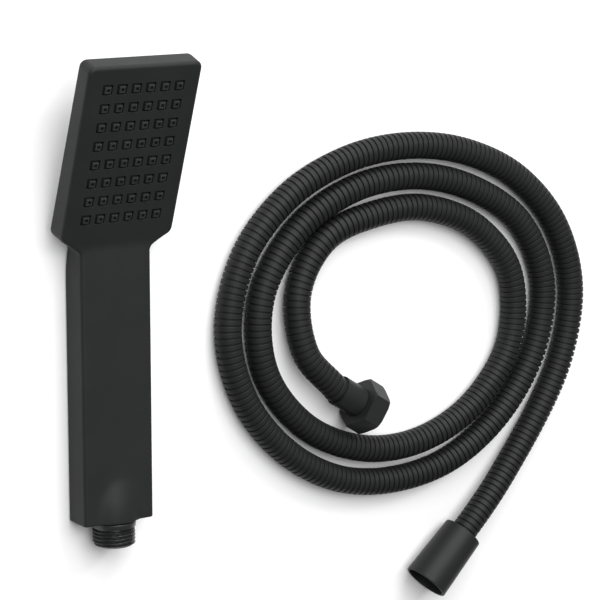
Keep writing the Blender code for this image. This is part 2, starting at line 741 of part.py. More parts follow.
# ---- inlet: spigot, check valve, filter -----------------------------------------------------
def make_spigot(inlet):
    """The threaded inlet. Its thread is a ridge that follows a helix."""
    sides = 20
    rows = 20
    rings = []
    y_end = thread_end
    y_collar = -gap - collar_length
    step = 0.001 * mm  # a square step between two radii is this long

    def ring(y, radius):
        rings.append([Vector((radius(k) * math.cos(math.tau * k / sides), y,
                              radius(k) * math.sin(math.tau * k / sides))) for k in range(sides)])

    def flat(radius):
        return lambda k: radius

    root = thread_radius - thread_depth
    ring(y_end, flat(root - 0.2 * mm))
    for row in range(rows + 1):
        y = y_end + 0.3 * mm + (thread_length - 0.9 * mm) * row / rows
        fade = min(1.0, row / 3, (rows - row) / 2)

        def thread(k, y=y, fade=fade):
            turn = (y / thread_pitch + k / sides) % 1.0
            wave = min(1.0, max(0.0, 1.6 * (0.5 - abs(turn - 0.5) * 2) + 0.5))
            return root + thread_depth * wave * fade

        ring(y, thread)
    ring(y_collar, flat(root))
    ring(y_collar + step, flat(collar_radius - 0.4 * mm))
    ring(y_collar + 0.4 * mm, flat(collar_radius))
    ring(-gap, flat(collar_radius))
    ring(-gap + step, flat(stub_radius))
    groove = end_wall + gap
    for y, radius in ((seal_groove[0], stub_radius), (seal_groove[0] + step, stub_radius - clip_groove),
                      (seal_groove[1], stub_radius - clip_groove), (seal_groove[1] + step, stub_radius),
                      (groove, stub_radius), (groove + step, stub_radius - clip_groove),
                      (groove + clip_thickness + gap, stub_radius - clip_groove),
                      (groove + clip_thickness + gap + step, stub_radius),
                      (stub_step, stub_radius), (stub_step + 0.8 * mm, stub_tail_radius),
                      (stub_end, stub_tail_radius), (stub_end, tube_radius + gap),
                      (stub_end - tube_pocket, tube_radius + gap),
                      (stub_end - tube_pocket, tube_radius - tube_wall),
                      (y_end + valve_depth + filter_depth, tube_radius - tube_wall),
                      (y_end + valve_depth + filter_depth, valve_bore), (y_end + filter_depth, valve_bore),
                      (y_end + filter_depth, filter_bore), (y_end, filter_bore)):
        ring(y, flat(radius))
    loft("inlet_spigot", rings, "black_brass", inlet, closed=True)

    seal = ring_seal("spigot_seal", stub_radius - 0.25 * mm, seal_section, "seal_rubber", inlet)
    seal.location = (0, sum(seal_groove) / 2, 0)
    clip = turned("spigot_clip", [(groove + gap / 2, stub_radius - clip_groove + 0.15 * mm),
                  (groove + gap / 2, clip_radius), (groove + gap / 2 + clip_thickness, clip_radius),
                  (groove + gap / 2 + clip_thickness, stub_radius - clip_groove + 0.15 * mm)],
                  "steel", inlet)
    slit = boxes("clip_slit", [((-clip_slit / 2, 0, -2 * clip_radius), (clip_slit / 2, 9 * mm, -2 * mm))],
                 None, inlet)
    cut(clip, slit)


def make_valve(inlet, valve):
    """Filter, flow restrictor and sprung check valve, in the order that the water meets them."""
    y_end = thread_end
    screen_y = y_end + screen_place
    screen_rim = screen_y + screen_height
    screen = turned("filter_screen", [(screen_y, 0), (screen_y, filter_bore - gap),
                    (screen_rim, filter_bore - gap), (screen_rim, filter_bore - 1.4 * mm),
                    (screen_y + screen_floor, filter_bore - 2.0 * mm), (screen_y + screen_floor, 0)],
                    "steel", inlet, closed=False)
    holes = []
    for i in range(-2, 3):
        for j in range(-2, 3):
            if i * i + j * j > 4:
                continue
            x, z = screen_pitch * i, screen_pitch * j
            holes.append(((x - screen_hole / 2, screen_y - 1 * mm, z - screen_hole / 2),
                          (x + screen_hole / 2, screen_rim + 1 * mm, z + screen_hole / 2)))
    cut(screen, boxes("screen_holes", holes, None, inlet))

    ring_y = screen_rim + gap
    ring_end = ring_y + restrictor_length
    turned("flow_restrictor", [(ring_y, restrictor_bores[0]), (ring_y, filter_bore - gap),
           (ring_end, filter_bore - gap), (ring_end, restrictor_bores[1])], "clear_plastic", inlet)

    seat_y = y_end + filter_depth + gap
    seat_end = seat_y + seat_length
    turned("valve_seat", [(seat_y, seat_bores[0]), (seat_y, valve_bore - gap), (seat_end, valve_bore - gap),
           (seat_end, seat_bores[2]), (seat_y + seat_length * 2 / 3, seat_bores[1])], "inner_plastic", inlet)

    disc = seat_end + gap
    back = poppet_thickness
    turned("valve_poppet", [(0, 0), (0, poppet_radius - 0.5 * mm), (0.4 * mm, poppet_radius),
           (back, poppet_radius), (back, poppet_stem), (poppet_length - 0.4 * mm, poppet_stem),
           (poppet_length, poppet_stem * 0.6), (poppet_length, 0)], "inner_plastic", valve, sides=16,
           closed=False)
    valve.location.y = disc

    guide_y = disc + guide_place
    guide_end = guide_y + guide_thickness
    guide = turned("valve_guide", [(guide_y, poppet_stem + gap), (guide_y, valve_bore - gap),
                   (guide_end, valve_bore - gap), (guide_end, poppet_stem + gap)], "inner_plastic", inlet)
    for number in range(3):
        slot = turned(f"guide_port_{number}", [(guide_y - 1 * mm, 0), (guide_y - 1 * mm, guide_port),
                      (guide_end + 1 * mm, guide_port), (guide_end + 1 * mm, 0)], None, inlet, sides=10,
                      closed=False)
        swing = math.tau * number / 3
        reach = (poppet_stem + valve_bore) / 2
        slot.location = (reach * math.cos(swing), 0, reach * math.sin(swing))
        cut(guide, slot)

    low = disc + back + spring_wire + spring_play
    high = guide_y - spring_wire - spring_play
    rings = []
    for i in range(spring_turns * 14 + 1):
        swing = math.tau * i / 14
        climb = (high - low) / (math.tau * spring_turns)
        out = Vector((math.cos(swing), 0, math.sin(swing)))
        ahead = Vector((-math.sin(swing) * spring_radius, climb, math.cos(swing) * spring_radius))
        up = ahead.normalized().cross(out)
        place = out * spring_radius + Vector((0, low + climb * swing, 0))
        rings.append([place + spring_wire * (out * math.cos(math.tau * k / 6)
                                             + up * math.sin(math.tau * k / 6)) for k in range(6)])
    loft("valve_spring", rings, "steel", inlet)


# ---- hose and its end fittings --------------------------------------------------------------
def smooth_route(points, samples):
    """Points evenly spaced along a smooth curve through the route, and the curve's length."""
    ends = [points[0] * 2 - points[1]] + points + [points[-1] * 2 - points[-2]]
    fine = []
    for a, b, c, d in zip(ends, ends[1:], ends[2:], ends[3:]):
        for step in range(24):
            t = step / 24
            fine.append((b * 2 + (c - a) * t + (a * 2 - b * 5 + c * 4 - d) * t**2
                         + (b * 3 - a - c * 3 + d) * t**3) / 2)
    fine.append(points[-1])
    travelled = [0.0]
    for near, far in zip(fine, fine[1:]):
        travelled.append(travelled[-1] + (far - near).length)
    even = []
    index = 0
    for sample in range(samples):
        goal = travelled[-1] * sample / (samples - 1)
        while index < len(fine) - 2 and travelled[index + 1] < goal:
            index += 1
        span = travelled[index + 1] - travelled[index]
        even.append(fine[index].lerp(fine[index + 1], (goal - travelled[index]) / span))
    return even, travelled[-1]


def hose_line():
    """The hose's centreline, from inside the cone nut to inside the wall nut's ferrule."""
    route = [Vector((x * mm, y * mm, 0)) for x, y in hose_route]
    out_cone = (route[0] - route[1]).normalized()
    out_wall = Vector((math.cos(wall_end_turn), math.sin(wall_end_turn), 0))
    even, length = smooth_route(route, hose_points)
    for index, point in enumerate(even):
        along = length * index / (hose_points - 1)
        share = min(min(along, length - along) / hose_rise, 1.0)
        ease = share * share * (3 - 2 * share)
        point.z = nut_rest + (hose_rest - nut_rest) * ease
    even.insert(0, even[0] + out_cone * (cone_length - cone_depth_to_hose))
    even.append(even[-1] + out_wall * ferrule_length)
    return even, out_cone, out_wall


def make_hose():
    line, out_cone, out_wall = hose_line()
    curve = bpy.data.curves.new("hose", "CURVE")
    curve.dimensions = "3D"
    curve.bevel_depth = hose_radius
    curve.bevel_resolution = 2
    curve.use_fill_caps = True
    spline = curve.splines.new("POLY")
    spline.points.add(len(line) - 1)
    for point, place in zip(spline.points, line):
        point.co = (*place, 1)
    curve.materials.append(materials["hose_metal"])
    made = bpy.data.objects.new("hose", curve)
    bpy.context.scene.collection.objects.link(made)

    for name, place, out in (("cone", line[0], out_cone), ("wall", line[-1], out_wall)):
        frame = empty(f"{name}_end", place)
        frame.rotation_euler.z = math.atan2(-out.x, out.y)
        make_end_fitting(name, frame)


def make_end_fitting(name, frame):
    """Ferrule, flanged stem, washer and swivel nut on one end of the hose, along local +Y."""
    ferrule_top = gap if name == "cone" else wall_ferrule_top
    hose_clear = hose_radius + gap
    turned(f"{name}_ferrule", [(ferrule_top - ferrule_length, hose_clear), (ferrule_top - ferrule_length,
           ferrule_radius - 0.4 * mm), (ferrule_top - ferrule_length + 0.5 * mm, ferrule_radius),
           (ferrule_top - 0.5 * mm, ferrule_radius), (ferrule_top, ferrule_radius - 0.4 * mm),
           (ferrule_top, hose_clear)], "black_brass", frame, sides=20)
    flange = flange_at[name]
    turned(f"{name}_stem", [(gap, stem_bore), (gap, stem_neck), (flange, stem_neck), (flange, flange_radius),
           (flange + hose_flange, flange_radius), (flange + hose_flange, stem_bore)], "black_brass", frame,
           sides=20)
    washer = flange + hose_flange + gap
    turned(f"{name}_washer", [(washer, stem_bore + 1 * mm), (washer, flange_radius),
           (washer + washer_thickness, flange_radius), (washer + washer_thickness, stem_bore + 1 * mm)],
           "seal_rubber", frame, sides=20)
    if name == "cone":
        mouth = flange - gap + cone_socket
        tail = mouth - cone_length
        turned("cone_nut", [(tail, cone_bore), (tail, cone_tail_radius - 0.6 * mm),
               (tail + 0.6 * mm, cone_tail_radius), (mouth - 0.6 * mm, cone_mouth_radius),
               (mouth, cone_mouth_radius - 0.5 * mm), (mouth, socket_radius), (flange - gap, socket_radius),
               (flange - gap, cone_bore)], "black_brass", frame, sides=28)
        return
    back = flange - gap - hex_wall
    mouth = back + hex_length
    corner = hex_flats / 2 / math.cos(math.pi / 6)
    nut = turned("wall_nut", [(back, 0), (back, corner), (mouth, corner), (mouth, 0)], "black_brass", frame,
                 sides=6, closed=False, smooth=False)
    inward, onward = nut_chamfer
    chamfer = turned("nut_chamfer", [(back - 1 * mm, 0), (back - 1 * mm, hex_flats / 2 - inward),
                     (back + onward, corner + 0.1 * mm), (mouth - onward, corner + 0.1 * mm),
                     (mouth + 1 * mm, hex_flats / 2 - inward), (mouth + 1 * mm, 0)], None, frame, sides=24,
                     closed=False)
    cut(nut, chamfer, "INTERSECT")
    socket = turned("nut_socket", [(back - 1 * mm, 0), (back - 1 * mm, stem_neck + gap), (back + hex_wall,
                    stem_neck + gap), (back + hex_wall, socket_radius), (mouth + 1 * mm, socket_radius),
                    (mouth + 1 * mm, 0)], None, frame, closed=False)
    cut(nut, socket)


def main():
    clear_scene()
    make_materials()
    handset = empty("handset", (0, centre_y, 0))
    head = empty("head", crease, handset)
    head.rotation_euler.x = head_tilt
    inlet = empty("inlet", (0, 0, inlet_height), handset)
    valve = empty("valve_axis", (0, 0, 0), inlet)
    make_front_shell(handset, head)
    make_rear_cover(handset)
    make_nozzle_mat(head)
    make_spray_plate(head)
    make_chamber(head)
    make_water_path(handset, head)
    make_spigot(inlet)
    make_valve(inlet, valve)
    make_hose()


main()
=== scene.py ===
import json
import math

import bmesh
import bpy
from mathutils import Matrix, Quaternion, Vector


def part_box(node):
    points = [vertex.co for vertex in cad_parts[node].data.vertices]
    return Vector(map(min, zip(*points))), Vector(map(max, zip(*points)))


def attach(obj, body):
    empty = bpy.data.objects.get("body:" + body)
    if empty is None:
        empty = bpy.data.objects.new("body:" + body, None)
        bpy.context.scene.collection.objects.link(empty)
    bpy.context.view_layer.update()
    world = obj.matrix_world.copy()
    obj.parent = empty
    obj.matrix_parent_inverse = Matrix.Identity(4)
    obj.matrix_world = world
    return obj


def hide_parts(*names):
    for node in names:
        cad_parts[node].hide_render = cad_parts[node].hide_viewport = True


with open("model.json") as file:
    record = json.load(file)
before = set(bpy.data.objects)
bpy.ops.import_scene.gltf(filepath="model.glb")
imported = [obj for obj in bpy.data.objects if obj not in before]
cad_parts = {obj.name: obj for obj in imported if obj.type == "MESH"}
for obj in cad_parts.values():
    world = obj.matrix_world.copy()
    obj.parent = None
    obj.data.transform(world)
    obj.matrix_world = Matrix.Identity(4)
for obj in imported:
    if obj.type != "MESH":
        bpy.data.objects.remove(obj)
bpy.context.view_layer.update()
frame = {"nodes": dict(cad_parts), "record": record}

# A slim square hand shower lying on its back, with its ribbed hose coiled beside it.
# Metres throughout; sizes in the dictionaries are in millimetres and go through mm.
mm = 0.001
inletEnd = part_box("front_shell")[0].y  # where the handle's square end lies
print("frame loaded")


view = {"side": 33.2, "lift": 10.9, "distance": 1.31, "aim": (0.112, -0.012, 0.005), "lens": 155.9}


def makeCamera():
    side, lift = math.radians(view["side"]), math.radians(view["lift"])
    back = Vector((-math.sin(side) * math.cos(lift), math.sin(lift), math.cos(side) * math.cos(lift)))
    right = Vector((0, 1, 0)).cross(back).normalized()
    up = back.cross(right)
    bpy.ops.object.camera_add()
    camera = bpy.context.object
    camera.rotation_mode = "QUATERNION"
    camera.rotation_quaternion = Matrix((right, up, back)).transposed().to_quaternion()
    camera.location = Vector(view["aim"]) + back * view["distance"]
    camera.data.lens = view["lens"]
    camera.data.clip_end = 20
    bpy.context.scene.camera = camera


studio = {
    "world": 0.25,
    "lamps": [  # name, place, aim, size, power
        ("overhead", (-0.2, 0.85, 1.5), (0.12, 0.0, 0.0), (1.8, 1.8), 42),
        ("farSide", (0.3, 1.5, 0.5), (0.1, 0.0, 0.0), (0.9, 0.5), 13),
        ("rightBack", (0.95, 0.8, 1.0), (0.1, 0.0, 0.0), (0.3, 0.3), 4),
    ],
}


def makeStudio():
    for name, spot, aim, size, power in studio["lamps"]:
        bpy.ops.object.light_add(type="AREA", location=spot)
        lamp = bpy.context.object
        lamp.name = name
        lamp.data.shape = "RECTANGLE"
        lamp.data.size, lamp.data.size_y = size
        lamp.data.energy = power
        lamp.rotation_mode = "QUATERNION"
        lamp.rotation_quaternion = (Vector(aim) - Vector(spot)).to_track_quat("-Z", "Y")
    world = bpy.data.worlds.new("studio")
    world.use_nodes = True
    world.node_tree.nodes["Background"].inputs["Color"].default_value = (1, 1, 1, 1)
    world.node_tree.nodes["Background"].inputs["Strength"].default_value = studio["world"]
    bpy.context.scene.world = world
    bpy.context.scene.view_settings.view_transform = "Standard"


def selectNothing():
    if bpy.context.mode != "OBJECT":
        bpy.ops.object.mode_set(mode="OBJECT")
    bpy.ops.object.select_all(action="DESELECT")


def onlyThis(thing):
    selectNothing()
    bpy.context.view_layer.objects.active = thing
    thing.select_set(True)


def named(thing, name):
    thing.name = name
    thing.data.name = name
    return thing


def newGrid(columns, rows):
    selectNothing()
    bpy.ops.mesh.primitive_grid_add(x_subdivisions=columns, y_subdivisions=rows, size=2)
    return bpy.context.object


def newSlab(columns, rows):
    # a grid thickened into a closed block, its top at a height of 1
    slab = newGrid(columns, rows)
    bpy.ops.object.mode_set(mode="EDIT")
    bpy.ops.mesh.select_all(action="SELECT")
    bpy.ops.mesh.extrude_region_move(TRANSFORM_OT_translate={"value": (0, 0, 1)})
    bpy.ops.mesh.select_all(action="SELECT")
    bpy.ops.mesh.normals_make_consistent(inside=False)
    bpy.ops.object.mode_set(mode="OBJECT")
    return slab


def newRod(radius, depth, sides=96, tip=None):
    # a rod or cone along +Z from its base at the origin
    selectNothing()
    bpy.ops.mesh.primitive_cone_add(vertices=sides, radius1=radius, radius2=radius if tip is None else tip,
                                    depth=depth, location=(0, 0, depth / 2))
    bpy.ops.object.transform_apply(location=True)
    return bpy.context.object


def selectIn(thing, kind, test):
    # selects faces or edges of the piece in edit mode, by a test on each
    onlyThis(thing)
    bpy.ops.object.mode_set(mode="EDIT")
    bpy.ops.mesh.select_mode(type="FACE" if kind == "faces" else "EDGE")
    bpy.ops.mesh.select_all(action="DESELECT")
    mesh = bmesh.from_edit_mesh(thing.data)
    mesh.normal_update()
    found = 0
    for part in getattr(mesh, kind):
        if test(part):
            part.select_set(True)
            found += 1
    bmesh.update_edit_mesh(thing.data)
    return found


def applyAll(thing):
    onlyThis(thing)
    for step in list(thing.modifiers):
        bpy.ops.object.modifier_apply(modifier=step.name)


def settle(thing, place=(0, 0, 0), turn=None):
    # puts the piece in its place and leaves that in its mesh
    onlyThis(thing)
    thing.location = place
    if turn is not None:
        thing.rotation_mode = "QUATERNION"
        thing.rotation_quaternion = turn
    bpy.ops.object.transform_apply(location=True, rotation=True, scale=True)


def carve(thing, cutter, way="DIFFERENCE"):
    step = thing.modifiers.new(cutter.name, "BOOLEAN")
    step.object = cutter
    step.operation = way
    step.solver = "EXACT"
    applyAll(thing)
    bpy.data.objects.remove(cutter, do_unlink=True)


def smooth(thing, angle=35, weighted=True):
    onlyThis(thing)
    bpy.ops.object.shade_smooth_by_angle(angle=math.radians(angle))
    if weighted:
        step = thing.modifiers.new("weighted", "WEIGHTED_NORMAL")
        step.keep_sharp = True
        step.weight = 80
        applyAll(thing)


def roundEdges(thing, width, segments, test):
    if selectIn(thing, "edges", test):
        bpy.ops.mesh.bevel(offset=width, segments=segments, profile=0.5, affect="EDGES",
                           clamp_overlap=True)
    bpy.ops.object.mode_set(mode="OBJECT")


def finishPiece(thing, name, body, look, replaced):
    named(thing, name)
    thing.data.materials.clear()
    thing.data.materials.append(looks[look])
    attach(thing, body)
    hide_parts(replaced)


class Wire:
    # a shader value that can be added, multiplied and so on as in plain arithmetic
    def __init__(self, shop, socket):
        self.shop, self.socket = shop, socket

    def join(self, operation, left, right):
        return self.shop.node("ShaderNodeMath", {"operation": operation}, {0: left, 1: right})

    def __add__(self, other):
        return self.join("ADD", self, other)

    def __radd__(self, other):
        return self.join("ADD", other, self)

    def __mul__(self, other):
        return self.join("MULTIPLY", self, other)

    def __rmul__(self, other):
        return self.join("MULTIPLY", other, self)


class Finish:
    # one material: a Principled shader and the nodes that feed it
    def __init__(self, name, colour, roughness, metallic=0.0, **fixed):
        self.material = bpy.data.materials.new(name)
        self.material.use_nodes = True
        self.tree = self.material.node_tree
        self.shader = self.tree.nodes["Principled BSDF"]
        self.shader.inputs["Base Color"].default_value = (*colour, 1)
        self.shader.inputs["Roughness"].default_value = roughness
        self.shader.inputs["Metallic"].default_value = metallic
        for socket, value in fixed.items():
            self.shader.inputs[socket.replace("_", " ")].default_value = value
        self.place = self.node("ShaderNodeTexCoord", {}, {}, "Object")

    def node(self, kind, settings, inputs, output=0):
        made = self.tree.nodes.new(kind)
        for name, value in settings.items():
            if name == "stops":
                ramp = made.color_ramp.elements
                while len(ramp) < len(value):
                    ramp.new(0.5)
                for stop, (spot, colour) in zip(ramp, value):
                    stop.position = spot
                    stop.color = (*colour, 1)
            else:
                setattr(made, name, value)
        for name, value in inputs.items():
            if isinstance(value, Wire):
                self.tree.links.new(value.socket, made.inputs[name])
            else:
                made.inputs[name].default_value = value
        return Wire(self, made.outputs[output])

    def noise(self, scale, detail=3.0, roughness=0.5, stretch=None, place=None):
        place = place or self.place
        if stretch:
            place = self.node("ShaderNodeMapping", {}, {"Vector": place, "Scale": stretch})
        return self.node("ShaderNodeTexNoise", {}, {"Vector": place, "Scale": scale, "Detail": detail,
                                                    "Roughness": roughness})

    def between(self, value, low, high):
        return self.node("ShaderNodeMapRange", {}, {"Value": value, "To Min": low, "To Max": high})

    def feed(self, socket, wire):
        self.tree.links.new(wire.socket, self.shader.inputs[socket])

    def colours(self, value, stops):
        self.feed("Base Color", self.node("ShaderNodeValToRGB", {"stops": stops}, {"Fac": value}))

    def bump(self, height, distance, strength=1.0):
        self.feed("Normal", self.node("ShaderNodeBump", {}, {"Height": height, "Distance": distance,
                                                             "Strength": strength}))


looks = {}


def satinBlack(name, dark, light, roughness, grain, **fixed):
    # moulded or sprayed black with a very fine grain and soft handling marks
    made = Finish(name, light, roughness, **fixed)
    cloud = made.noise(38, 4, 0.55)
    made.colours(cloud, [(0.3, dark), (0.7, light)])
    fine = made.noise(5200, 2, 0.5)
    wipe = made.noise(95, 5, 0.6, stretch=(1.0, 0.28, 1.0))
    made.feed("Roughness", made.between(wipe, roughness - 0.05, roughness + 0.07) + 0.02 * fine)
    made.bump(fine, grain)
    looks[name] = made.material


def makeLooks():
    satinBlack("satinShell", (0.0136, 0.0149, 0.0144), (0.0166, 0.0178, 0.0172), 0.50, 0.000012,
               Specular_IOR_Level=0.17)
    satinBlack("satinCover", (0.0130, 0.0142, 0.0137), (0.0158, 0.0168, 0.0164), 0.52, 0.000014,
               Specular_IOR_Level=0.17)
    satinBlack("blackBrass", (0.0128, 0.0136, 0.0133), (0.0156, 0.0164, 0.0161), 0.44, 0.000008,
               Specular_IOR_Level=0.2)
    satinBlack("platedThread", (0.0130, 0.0136, 0.0134), (0.0160, 0.0166, 0.0164), 0.30, 0.000006,
               Specular_IOR_Level=0.5)
    satinBlack("hoseBlack", (0.0104, 0.0108, 0.0108), (0.0132, 0.0137, 0.0137), 0.48, 0.000010,
               Specular_IOR_Level=0.2)

    silicone = Finish("softSilicone", (0.020, 0.021, 0.0215), 0.58, Specular_IOR_Level=0.25)
    silicone.colours(silicone.noise(160, 3), [(0.3, (0.017, 0.018, 0.0185)), (0.7, (0.024, 0.025, 0.0255))])
    silicone.feed("Roughness", silicone.between(silicone.noise(420, 3), 0.52, 0.66))
    silicone.bump(silicone.noise(2600, 2), 0.00001)
    looks["softSilicone"] = silicone.material

    rubber = Finish("sealRubber", (0.018, 0.018, 0.018), 0.72)
    rubber.colours(rubber.noise(300, 4), [(0.3, (0.014, 0.014, 0.014)), (0.7, (0.026, 0.026, 0.025))])
    rubber.feed("Roughness", rubber.between(rubber.noise(700, 3), 0.64, 0.8))
    rubber.bump(rubber.noise(3200, 2), 0.000012)
    looks["sealRubber"] = rubber.material

    steel = Finish("plainSteel", (0.52, 0.52, 0.53), 0.3, 1.0)
    brushed = steel.noise(900, 4, 0.6, stretch=(1.0, 0.06, 1.0))
    steel.colours(brushed, [(0.3, (0.44, 0.44, 0.45)), (0.7, (0.58, 0.58, 0.59))])
    steel.feed("Roughness", steel.between(brushed, 0.24, 0.38))
    looks["plainSteel"] = steel.material

    inner = Finish("innerPlastic", (0.3, 0.31, 0.32), 0.5)
    inner.colours(inner.noise(70, 4), [(0.3, (0.27, 0.28, 0.29)), (0.7, (0.33, 0.34, 0.35))])
    inner.feed("Roughness", inner.between(inner.noise(240, 4), 0.44, 0.56))
    inner.bump(inner.noise(2400, 2), 0.00001)
    looks["innerPlastic"] = inner.material

    clear = Finish("palePlastic", (0.62, 0.66, 0.68), 0.32)
    clear.colours(clear.noise(60, 3), [(0.3, (0.58, 0.62, 0.64)), (0.7, (0.66, 0.70, 0.72))])
    clear.feed("Roughness", clear.between(clear.noise(300, 4), 0.26, 0.38))
    looks["palePlastic"] = clear.material

    floor = Finish("studioFloor", (0.93, 0.93, 0.93), 0.9, Specular_IOR_Level=0.1)
    floor.colours(floor.noise(3, 2), [(0.0, (0.925, 0.925, 0.925)), (1.0, (0.935, 0.935, 0.935))])
    looks["studioFloor"] = floor.material


def makeFloor():
    bpy.ops.mesh.primitive_plane_add(size=30)
    floor = named(bpy.context.object, "floor")
    floor.data.materials.append(looks["studioFloor"])


nodeLooks = {"shell_plastic": "satinShell", "silicone": "softSilicone", "inner_plastic": "innerPlastic",
             "clear_plastic": "palePlastic", "black_brass": "blackBrass", "hose_metal": "hoseBlack",
             "steel": "plainSteel", "seal_rubber": "sealRubber"}


def dressNodes():
    # every CAD node gets its slot's finish; the shown ones are mostly replaced later
    for part in frame["record"]["subparts"]:
        thing = frame["nodes"][part["node"]]
        for spot in thing.material_slots:
            spot.material = looks[nodeLooks[part["material_slot"]]]


hose = {
    "route": [  # seen from above, mm: from the cone nut, round the coil, to the wall nut
        (211, -147), (238, -120.5), (262, -91.5), (279.5, -58.5), (285, -21.5), (273, 13.5), (247, 40.5),
        (212.5, 56.5), (175.5, 62), (138.5, 57.5), (104, 42), (78, 14.5), (68, -22), (77, -58), (101, -88),
        (134, -107.5), (171, -113), (207.5, -106), (239, -85), (260.5, -53.5), (265.5, -17), (249.5, 16),
        (217, 37), (180, 46), (142, 42), (108.5, 24), (87.5, -8), (89.5, -46), (113.5, -77), (149, -93.5),
        (186, -94), (220, -79), (243.5, -49), (243.5, -11), (220.5, 16), (187, 29), (154.5, 28),
        (125.5, 18), (109, -7.5), (111.5, -38), (129, -58.5),
    ],
    "radius": 7.0, "rest": 7.05, "nutRest": 12.1, "rise": 75, "wallTurn": -33,
    "coneIn": 20.6, "wallIn": 14, "ribPitch": 3.1, "sides": 26,
    "curveSteps": 48, "samples": 1200, "ribSteps": 20,  # how finely the centreline is worked out
    "rib": [(-1.24, 6.2), (-1.19, 6.82), (-1.0, 7.0), (1.0, 7.0), (1.19, 6.82), (1.24, 6.2)],
}


def routePoints(points, samples):
    # a smooth curve through the route's points
    ends = [points[0] * 2 - points[1]] + points + [points[-1] * 2 - points[-2]]
    fine = []
    for a, b, c, d in zip(ends, ends[1:], ends[2:], ends[3:]):
        for step in range(hose["curveSteps"]):
            t = step / hose["curveSteps"]
            fine.append((b * 2 + (c - a) * t + (a * 2 - b * 5 + c * 4 - d) * t**2
                         + (b * 3 - a - c * 3 + d) * t**3) / 2)
    fine.append(points[-1])
    return evenPoints(fine, samples)


def evenPoints(fine, samples):
    # the same line with its points at equal distances, and its length
    travelled = [0.0]
    for near, far in zip(fine, fine[1:]):
        travelled.append(travelled[-1] + (far - near).length)
    even = []
    index = 0
    for sample in range(samples):
        goal = travelled[-1] * sample / (samples - 1)
        while index < len(fine) - 2 and travelled[index + 1] < goal:
            index += 1
        span = travelled[index + 1] - travelled[index]
        even.append(fine[index].lerp(fine[index + 1], (goal - travelled[index]) / span))
    return even, travelled[-1]


def hoseLine():
    route = [Vector((x * mm, y * mm, 0)) for x, y in hose["route"]]
    outCone = (route[0] - route[1]).normalized()
    turn = math.radians(hose["wallTurn"])
    outWall = Vector((math.cos(turn), math.sin(turn), 0))
    even, length = routePoints(route, hose["samples"])
    for index, point in enumerate(even):
        along = length * index / (len(even) - 1)
        share = min(min(along, length - along) / (hose["rise"] * mm), 1.0)
        ease = share * share * (3 - 2 * share)
        point.z = (hose["nutRest"] + (hose["rest"] - hose["nutRest"]) * ease) * mm
    even.insert(0, even[0] + outCone * hose["coneIn"] * mm)
    even.append(even[-1] + outWall * hose["wallIn"] * mm)
    return even, outCone, outWall


def makeHose():
    line, outCone, outWall = hoseLine()
    length = sum((far - near).length for near, far in zip(line, line[1:]))
    ribs = round(length / (hose["ribPitch"] * mm))
    steps = hose["ribSteps"]
    spots, _ = evenPoints(line, ribs * steps + 1)
    mesh = bmesh.new()
    rings = []
    sides = hose["sides"]
    for rib in range(ribs):
        # each rib is stiff and keeps its width, so the grooves open outside a bend and close inside it
        low, centre, high = (spots[rib * steps + part] for part in (0, steps // 2, steps))
        ahead = (high - low).normalized()
        across = ahead.cross(Vector((0, 0, 1))).normalized()
        up = across.cross(ahead)
        for offset, radius in hose["rib"]:
            ring = []
            for k in range(sides):
                swing = math.tau * k / sides
                out = across * math.cos(swing) + up * math.sin(swing)
                ring.append(mesh.verts.new(centre + (ahead * offset + out * radius) * mm))
            rings.append(ring)
    for low, high in zip(rings, rings[1:]):
        for k in range(sides):
            m = (k + 1) % sides
            mesh.faces.new((low[k], low[m], high[m], high[k]))
    mesh.faces.new(rings[0])
    mesh.faces.new(rings[-1])
    bmesh.ops.recalc_face_normals(mesh, faces=mesh.faces)
    data = bpy.data.meshes.new("ribbedHose")
    mesh.to_mesh(data)
    mesh.free()
    tube = bpy.data.objects.new("ribbedHose", data)
    bpy.context.scene.collection.objects.link(tube)
    smooth(tube, 40, weighted=False)
    finishPiece(tube, "ribbedHose", "hose", "hoseBlack", "hose")
    print("hose", round(length, 4), "m,", ribs, "ribs")
    return tube, line, length, outCone, outWall


def drill(thing, top, steps):
    # sinks round steps into one end of a rod: (narrower by, deeper by) in mm
    heights = [corner.co.z for corner in thing.data.vertices]
    level = max(heights) if top else min(heights)
    way = 1 if top else -1
    selectIn(thing, "faces", lambda face: face.normal.z * way > 0.9
             and abs(face.calc_center_median().z - level) < 1e-6 and len(face.verts) > 8)
    for narrower, deeper in steps:
        if narrower:
            bpy.ops.mesh.inset(thickness=narrower * mm, depth=0)
        if deeper:
            bpy.ops.mesh.extrude_region_move(TRANSFORM_OT_translate={"value": (0, 0, -way * deeper * mm)})
    bpy.ops.object.mode_set(mode="OBJECT")


def openThrough(thing, bore, *levels):
    # joins the floors of two sunk ends, so that the bore goes right through
    selectIn(thing, "faces", lambda face: len(face.verts) > 8 and abs(face.normal.z) > 0.9
             and any(abs(face.calc_center_median().z - level * mm) < 1e-6 for level in levels)
             and max(corner.co.xy.length for corner in face.verts) < (bore + 0.2) * mm)
    bpy.ops.mesh.bridge_edge_loops()
    bpy.ops.object.mode_set(mode="OBJECT")


def sharpRing(angle=50):
    limit = math.radians(angle)
    return lambda edge: len(edge.link_faces) == 2 and edge.calc_face_angle(0) > limit


def facing(out):
    return out.to_track_quat("Z", "Y")


coneNut = {"length": 34, "tail": 10.75, "mouth": 12, "socket": 10.65, "socketDeep": 11.9, "bore": 8.3,
           "flangeEnd": 1.5, "edge": 0.5}


